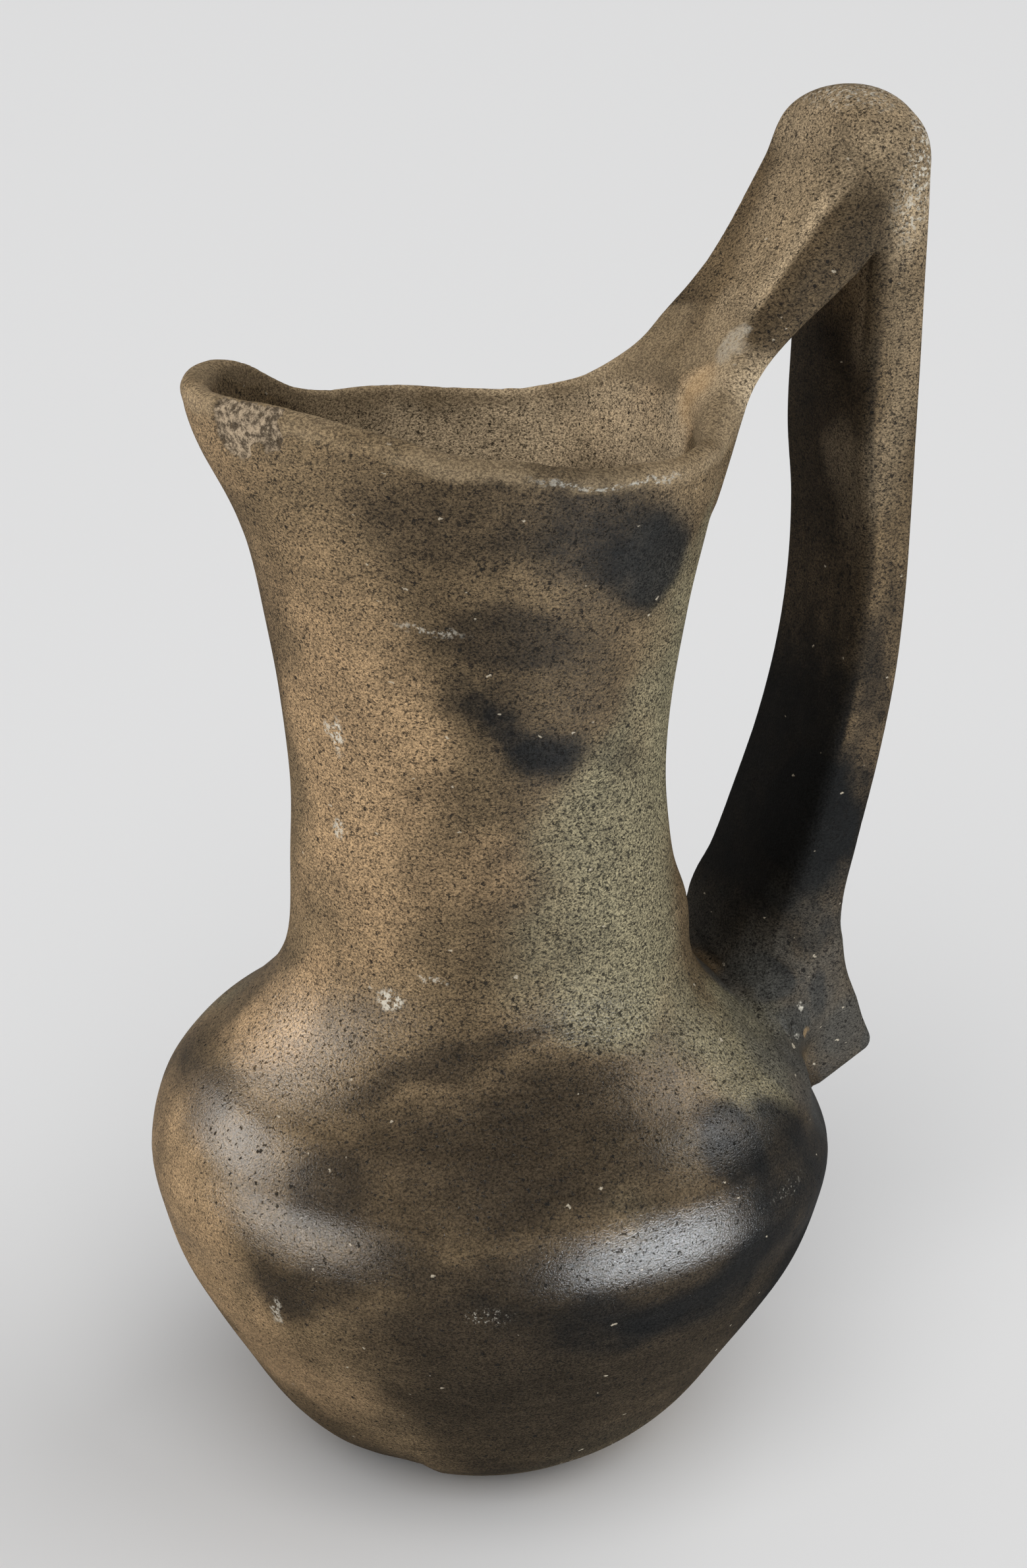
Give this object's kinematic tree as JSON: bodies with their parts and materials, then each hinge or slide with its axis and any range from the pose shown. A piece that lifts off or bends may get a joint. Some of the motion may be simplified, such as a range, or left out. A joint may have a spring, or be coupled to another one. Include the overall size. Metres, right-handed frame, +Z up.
{
  "type": "pitcher",
  "caption": "Hand-built earthenware pitcher with a squat round belly, a tall flaring neck, a pinched spout and a high strap handle from the rim to the shoulder.",
  "frame": {"origin": "on the body's axis, at the flat foot that the pitcher stands on", "axes": "+Z up along the body's axis, +X from the axis towards the handle, so the spout is near -X, and +Y to the left as seen from the spout's side looking at the handle"},
  "size_m": [0.2142, 0.19, 0.3687],
  "materials": {
    "clay": "unglazed burnished earthenware, low-fired, mottled buff, olive and brown with dark fire clouds and fine dark grit"
  },
  "bodies": {
    "root": {"pitcher": "clay"}
  },
  "joints": []
}
